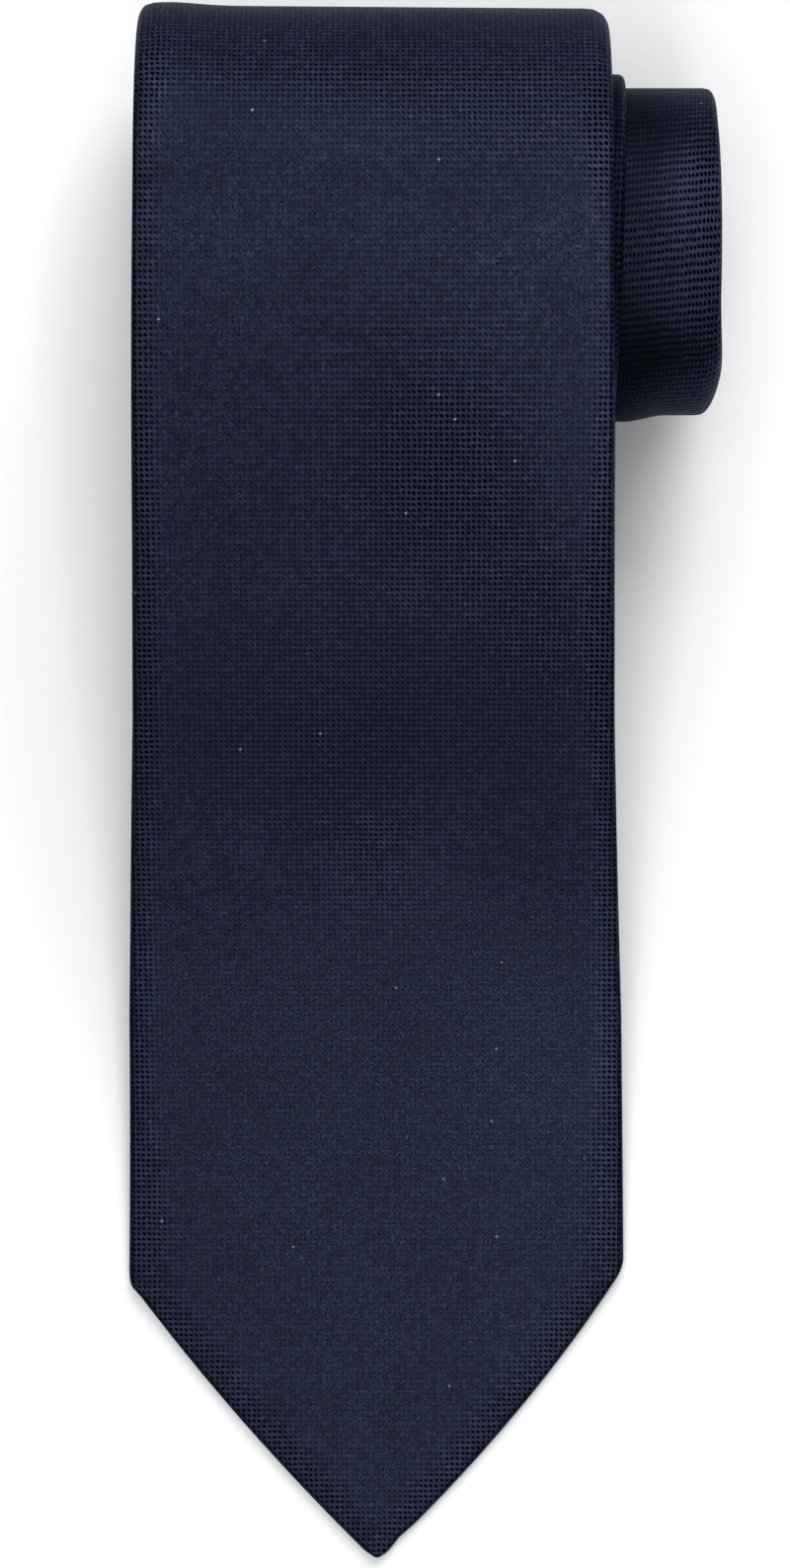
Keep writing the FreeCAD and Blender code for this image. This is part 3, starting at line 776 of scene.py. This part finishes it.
def woven_label(name, ground, line, half_wide, half_tall):
    """A blank woven label: a fine twill with two thin lines just inside its edge."""
    n = Nodes(name)
    uv, u, v = n.weave_uv()
    twill = n.wave(n.math("MULTIPLY", n.math("ADD", u, v), 14.0))
    inside_u = n.math("SUBTRACT", half_wide, n.math("ABSOLUTE", u))
    inside_v = n.math("SUBTRACT", half_tall, n.math("ABSOLUTE", v))
    inside = n.math("MINIMUM", inside_u, inside_v)
    frame_line = n.math("COMPARE", inside, 1.7, 0.22)
    thin_line = n.math("COMPARE", inside, 2.5, 0.10)
    lines = n.math("MAXIMUM", frame_line, thin_line)
    amount = n.math("MULTIPLY_ADD", n.noise(uv, 1.5), 0.4, n.math("MULTIPLY", twill, 0.6))
    cloth = n.mix(amount, paint(ground, 0.55), paint(ground))
    n.set(Base_Color=n.mix(lines, cloth, paint(line)), Roughness=0.45, Sheen_Weight=0.1)
    n.set(Normal=n.bump(n.math("ADD", twill, lines), 0.04 * MM, 0.6))
    return n.material


# half the width and height of each label, and how round its corners are
LABEL_WIDE, LABEL_TALL, LABEL_CORNER = 28 * MM, 9 * MM, 1 * MM
CARE_WIDE, CARE_TALL, CARE_CORNER = 8.5 * MM, 10 * MM, 0.4 * MM
LABEL_THICK = 0.35 * MM

TIE_CLOTH = tie_cloth()
WOOL = brushed_wool("interlining_wool", (0.62, 0.60, 0.54))
LINING = satin("tipping_satin", (0.020, 0.024, 0.055), 22.0)
THREAD = twisted_thread("sewing_silk", (0.030, 0.036, 0.080))
LABEL_GROUND, LABEL_LINE = (0.030, 0.036, 0.075), (0.30, 0.31, 0.34)
LABEL = woven_label("label_weave", LABEL_GROUND, LABEL_LINE, LABEL_WIDE / MM, LABEL_TALL / MM)
CARE = satin("care_satin", (0.62, 0.62, 0.60), 16.0, 0.35)

# ---------------------------------------------------------------- outer cloth and the plies inside

SEAM_GAP = 0.15 * MM
END = 0.02 * MM
WOOL_END = 9 * MM  # from each of the tie's ends to the wool
TIPPING_END = 6 * MM
LINING_MARGIN = 0.9 * MM
LINING_NEAR, LINING_FAR = 0.5 * MM, 1.55 * MM
TIPPING_MARGIN = 1.7 * MM
TIPPING_NEAR, TIPPING_FAR = 1.58 * MM, 1.74 * MM
TIPPING_BEYOND = 12 * MM  # how far the tipping runs on under the flaps, past the bar tack

blade_cloth = make_shell("blade_cloth", END, FOLD_END)
rolled_cloth = make_shell("rolled_cloth", FOLD_END, BLADE_SEAM - SEAM_GAP)
neck_cloth = make_shell("neck_cloth", BLADE_SEAM + SEAM_GAP, TAIL_SEAM - SEAM_GAP, 1.4 * MM, 16, 36)
tail_cloth = make_shell("tail_cloth", TAIL_SEAM + SEAM_GAP, LENGTH - END, 1.1 * MM, 14, 32)

wool = (LINING_MARGIN, LINING_NEAR, LINING_FAR, WOOL, "interlining", "folded")
blade_wool = make_band("blade_interlining", WOOL_END, FOLD_END, *wool)
roll_wool = make_band("roll_interlining", FOLD_END, LENGTH - WOOL_END, *wool)
satin_ply = (TIPPING_MARGIN, TIPPING_NEAR, TIPPING_FAR, LINING, "tipping", "laid")
blade_lining = make_band("blade_lining", TIPPING_END, BLADE_TACK + TIPPING_BEYOND, *satin_ply)
tail_lining = make_band(
    "tail_lining", TAIL_TACK - TIPPING_BEYOND, LENGTH - TIPPING_END, *satin_ply, step=1.5 * MM
)

# ---------------------------------------------------------------- sewing threads

SEAM_DEEP = THICK - 0.15 * MM
SLIP_RADIUS = 0.16 * MM
TACK_RADIUS = 0.17 * MM
TAIL_TACK_RADIUS = 0.12 * MM
SEAM_RADIUS = 0.10 * MM


def slip_path(start, end):
    """The long slip stitch: the thread winds from one flap's fold to the other's."""
    along = np.arange(start, end, 0.6 * MM)
    stitch = along / (6 * MM) * 2 * math.pi
    across = 0.14 * MM * np.sin(stitch)
    return place(along, across, SEAM_DEEP + 0.10 * MM * np.cos(stitch))


def bar_tack_paths(centre, half_across, half_along, deep, count, seed):
    """A bar tack: close threads across the seam, whose ends sink into the cloth."""
    shake = np.random.default_rng(seed)
    paths = []
    for number in range(count):
        at = centre + half_along * (2 * (number + 0.5) / count - 1)
        reach = half_across * (1 + 0.06 * shake.standard_normal(2))
        t = np.linspace(-1, 1, 25)
        across = np.where(t < 0, t * reach[0], t * reach[1])
        along = at + 0.05 * MM * shake.standard_normal() * t
        sink = 0.45 * MM * np.abs(t) ** 8
        paths.append(place(along, across, deep - sink))
    return paths


def hand_tack_path(centre, across, half_along, half_across, deep, turns):
    """A zigzag of one thread over the end of a sewn-on piece."""
    t = np.linspace(0, 1, turns * 16)
    swing = np.sin(t * turns * 2 * math.pi)
    sink = 0.5 * MM * np.abs(swing) ** 6
    return place(centre + half_along * (2 * t - 1), across + half_across * swing, deep - sink)


slip_start = BLADE_TACK + 1.6 * MM
slip_end = TAIL_TACK - 1.6 * MM
blade_slip = make_threads("blade_slip_thread", [slip_path(slip_start, FOLD_END)], SLIP_RADIUS, THREAD)
roll_slip = make_threads("roll_slip_thread", [slip_path(FOLD_END, slip_end)], SLIP_RADIUS, THREAD)
tack_paths = bar_tack_paths(BLADE_TACK, 4 * MM, 1 * MM, THICK + 0.3 * MM, 8, 11)
blade_tack = make_threads("blade_tack_thread", tack_paths, TACK_RADIUS, THREAD)
tail_tack_paths = bar_tack_paths(TAIL_TACK, 2.4 * MM, 0.8 * MM, THICK + 0.02 * MM, 6, 12)
tail_tack = make_threads("tail_tack_thread", tail_tack_paths, TAIL_TACK_RADIUS, THREAD)


def seam_path(seam):
    """The stitches that join two panels, from one side edge to the other."""
    half = float(width_along(seam)) / 2 - 1 * MM
    across = np.linspace(-half, half, int(half / (0.2 * MM)))
    wave = across / (2.2 * MM) * 2 * math.pi
    return place(seam + 0.12 * MM * np.sin(wave), across, CLOTH / 2 + 0.08 * MM * np.cos(wave))


neck_seam = make_threads("neck_seam_thread", [seam_path(BLADE_SEAM)], SEAM_RADIUS, THREAD)
tail_seam = make_threads("tail_seam_thread", [seam_path(TAIL_SEAM)], SEAM_RADIUS, THREAD)

# ---------------------------------------------------------------- pieces sewn on the back


def flat_piece(name, centre, half_across, half_along, corner, near, far, material):
    """A thin sewn-on piece with rounded corners, lying on the tie's back."""
    ends = half_along - corner + corner * np.sin(np.linspace(0, math.pi / 2, 7))
    straight = np.linspace(-half_along + corner, half_along - corner, 11)[1:-1]
    along = np.concatenate([-ends[::-1], straight, ends])
    over = np.maximum(np.abs(along) - (half_along - corner), 0) / corner
    reach = half_across - corner * (1 - np.sqrt(np.maximum(1 - over * over, 0)))
    t = np.sin(np.linspace(-1, 1, 41) * math.pi / 2)
    top = reach[:, None] * t[None, :]
    loose = (1 - t ** 8)[None, :] * (1 - (along / half_along)[:, None] ** 4)
    ring = np.concatenate([top, top[:, ::-1]], axis=1)
    deep = np.concatenate([near + 0.10 * MM * loose, far + 0.16 * MM * loose[:, ::-1]], axis=1)
    rows, columns = ring.shape
    faces = strip_faces(rows, columns, True) + end_faces(rows, columns)
    uvs = np.stack([ring / MM, along[:, None] / MM + 0 * ring], axis=-1)
    points = place(centre + along[:, None], ring, deep)
    piece = make_piece(name, points, faces, uvs, material)
    return piece


SEWN_ON = THICK + 0.05 * MM  # how deep the pieces sewn on the back begin

label = flat_piece(
    "maker_label", LABEL_AT, LABEL_WIDE, LABEL_TALL, LABEL_CORNER,
    SEWN_ON, SEWN_ON + LABEL_THICK - 0.1 * MM, LABEL,
)
care = flat_piece(
    "washing_label", CARE_AT, CARE_WIDE, CARE_TALL, CARE_CORNER,
    THICK - 0.02 * MM, THICK + 0.06 * MM, CARE,
)

# half the keeper's width across the tie, the part turned under at each end, half its height
KEEPER_HALF, KEEPER_FOOT, KEEPER_TALL = 25 * MM, 5 * MM, 7 * MM
KEEPER_THICK, KEEPER_RISE = 0.8 * MM, 1.6 * MM


def keeper_line():
    """The strip's middle, from under one end up and over to under the other: across and height."""
    low = KEEPER_THICK / 2
    top = KEEPER_RISE + KEEPER_THICK / 2
    bend = (top - low) / 2
    foot = np.linspace(KEEPER_HALF - KEEPER_FOOT, KEEPER_HALF - KEEPER_THICK / 2 - bend, 5)
    turn = np.linspace(-math.pi / 2, math.pi / 2, 10)[1:-1]
    over = np.linspace(0, foot[-1], 26)[::-1]
    across = np.concatenate([foot, foot[-1] + bend * np.cos(turn), over])
    height = np.concatenate([low + 0 * foot, low + bend + bend * np.sin(turn), top + 0 * over])
    return (
        np.concatenate([across, -across[-2::-1]]),
        np.concatenate([height, height[-2::-1]]),
    )


def make_keeper():
    """The keeper: a flat strip of the tie's own cloth, folded to a band with soft edges."""
    across, height = keeper_line()
    ahead = np.stack([np.gradient(across), np.gradient(height)], axis=1)
    ahead /= np.linalg.norm(ahead, axis=1)[:, None]
    normal = np.stack([ahead[:, 1], -ahead[:, 0]], axis=1)
    turn = np.linspace(-math.pi / 2, math.pi / 2, 9)
    soft = KEEPER_THICK / 2
    flat = np.linspace(-1, 1, 15)[1:-1] * (KEEPER_TALL - soft)
    side = KEEPER_TALL - soft + soft * np.cos(turn)
    wide = np.concatenate([flat, side, flat[::-1], -side])
    lift = np.concatenate([-soft + 0 * flat, soft * np.sin(turn), soft + 0 * flat, -soft * np.sin(turn)])
    # The seam of the strip, a shallow furrow along the middle of its underside.
    lift = lift + 0.12 * MM * bump(wide, 0, 0.5 * MM) * (lift < 0)
    ring_across = across[:, None] + normal[:, :1] * lift
    ring_height = height[:, None] + normal[:, 1:] * lift
    points = place(KEEPER_AT + wide[None, :] + 0 * ring_across, ring_across, SEWN_ON + ring_height)
    rows, columns = ring_across.shape
    faces = strip_faces(rows, columns, True)
    faces.append(list(range(columns))[::-1])
    faces.append([(rows - 1) * columns + i for i in range(columns)])
    run = np.concatenate([[0], np.cumsum(np.hypot(np.diff(across), np.diff(height)))])
    u = run[:, None] / (0.9 * MM) + 0 * wide[None, :]
    v = wide[None, :] / (0.95 * MM) + 0 * run[:, None]
    uvs = np.stack([u, v], axis=-1)
    looks = np.stack([0 * ring_across + 0.8, 0 * ring_across + 1], axis=-1)
    piece = make_piece("keeper", points, faces, uvs, TIE_CLOTH, looks)
    return piece


keeper = make_keeper()
KEEPER_TACK_AT, LABEL_TACK_AT = 23 * MM, 26.3 * MM  # from the centre seam
TACK_HALF, TACK_TURNS = 4 * MM, 9
TACK_OVER = 0.12 * MM  # the thread's middle, above the piece that it holds
keeper_top = SEWN_ON + KEEPER_RISE + KEEPER_THICK + TACK_OVER
label_top = SEWN_ON + LABEL_THICK + TACK_OVER
keeper_paths, label_paths = [], []
for side in (-1, 1):
    at_keeper, at_label = side * KEEPER_TACK_AT, side * LABEL_TACK_AT
    keeper_paths.append(hand_tack_path(KEEPER_AT, at_keeper, TACK_HALF, 0.8 * MM, keeper_top, TACK_TURNS))
    label_paths.append(hand_tack_path(LABEL_AT, at_label, TACK_HALF, 0.7 * MM, label_top, TACK_TURNS))
keeper_tacks = make_threads("keeper_tack_thread", keeper_paths, 0.14 * MM, THREAD)
label_tacks = make_threads("label_tack_thread", label_paths, 0.12 * MM, THREAD)

# ---------------------------------------------------------------- nodes and bodies

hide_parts("blade_panel")
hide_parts("blade_panel_rolled")
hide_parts("neck_panel")
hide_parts("tail_panel")
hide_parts("interlining_blade")
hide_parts("interlining_rolled")
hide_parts("blade_tipping")
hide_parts("tail_tipping")
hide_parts("slip_stitch_blade")
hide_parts("slip_stitch_rolled")
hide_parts("blade_bar_tack")
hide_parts("tail_bar_tack")
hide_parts("blade_neck_seam")
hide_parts("neck_tail_seam")
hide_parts("keeper_loop")
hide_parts("keeper_stitches")
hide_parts("brand_label")
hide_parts("label_stitches")
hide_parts("care_label")

for piece in (blade_cloth, blade_wool, blade_slip):
    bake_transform(piece)
for piece in (blade_lining, blade_tack, keeper, keeper_tacks, label, label_tacks):
    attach(piece, "blade")
for piece in (
    rolled_cloth, neck_cloth, tail_cloth, roll_wool, tail_lining,
    roll_slip, tail_tack, neck_seam, tail_seam, care,
):
    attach(piece, "roll")

# ---------------------------------------------------------------- floor, light and camera

FLOOR_HALF = 3.0
PAPER = (0.88, 0.885, 0.9, 1)


def make_floor():
    """A wide sheet of white paper on the table."""
    mesh = bpy.data.meshes.new("floor")
    corners = [(-FLOOR_HALF, -FLOOR_HALF, 0), (FLOOR_HALF, -FLOOR_HALF, 0)]
    corners += [(FLOOR_HALF, FLOOR_HALF, 0), (-FLOOR_HALF, FLOOR_HALF, 0)]
    mesh.from_pydata(corners, [], [(0, 1, 2, 3)])
    floor = bpy.data.objects.new("floor", mesh)
    bpy.context.scene.collection.objects.link(floor)
    paper = Nodes("paper")
    paper.set(Base_Color=PAPER, Roughness=0.9)
    mesh.materials.append(paper.material)


def soft_box(name, at, power):
    """A square lamp that shines at the frame's origin, under the middle of the object."""
    data = bpy.data.lights.new(name, "AREA")
    data.shape = "RECTANGLE"
    data.size = SOFT_BOX
    data.size_y = SOFT_BOX
    data.energy = power
    lamp = bpy.data.objects.new(name, data)
    lamp.location = at
    direction = mathutils.Vector() - mathutils.Vector(at)
    lamp.rotation_euler = direction.to_track_quat("-Z", "Y").to_euler()
    bpy.context.scene.collection.objects.link(lamp)


make_floor()
SOFT_BOX = 1.0  # the side of each lamp
# Where each lamp hangs, and its power. The powers started from a fit of renders, one for each
# lamp, to the photograph's brightness, and most were then changed.
LIGHTS = {
    "key": ((0.32, 1.20, 1.01), 14.5),
    "top": ((0, 0, 1.60), 4.0),
    "high": ((0, 0.68, 1.45), 4.6),
    "back": ((0, 1.23, 1.03), 5.5),
    "low": ((0, 1.50, 0.55), 2.0),
    "front": ((0, -1.03, 1.22), 12.0),
    "side": ((-0.67, 0, 1.44), 3.8),
}
for name, (at, power) in LIGHTS.items():
    soft_box(name, at, power)

world = bpy.data.worlds.new("studio")
world.use_nodes = True
background = world.node_tree.nodes["Background"]
background.inputs["Color"].default_value = (0.95, 0.97, 1.0, 1)
background.inputs["Strength"].default_value = 0.06
bpy.context.scene.world = world
bpy.context.scene.view_settings.view_transform = "Standard"

CAMERA_HEIGHT = 1.2
CAMERA_ASIDE = 3.2 * MM  # from the blade's middle
CAMERA_BACK = 1.07 * MM  # from the middle of the object's box
VIEW_LENGTH = (object_high.y - object_low.y) * 1.029  # how much of the table's length is in view
camera_data = bpy.data.cameras.new("camera")
camera_data.lens = camera_data.sensor_width * CAMERA_HEIGHT / VIEW_LENGTH
camera = bpy.data.objects.new("camera", camera_data)
camera_middle = (object_low.y + object_high.y) / 2 + CAMERA_BACK
camera.location = (BLADE_X + CAMERA_ASIDE, camera_middle, CAMERA_HEIGHT)
bpy.context.scene.collection.objects.link(camera)
bpy.context.scene.camera = camera
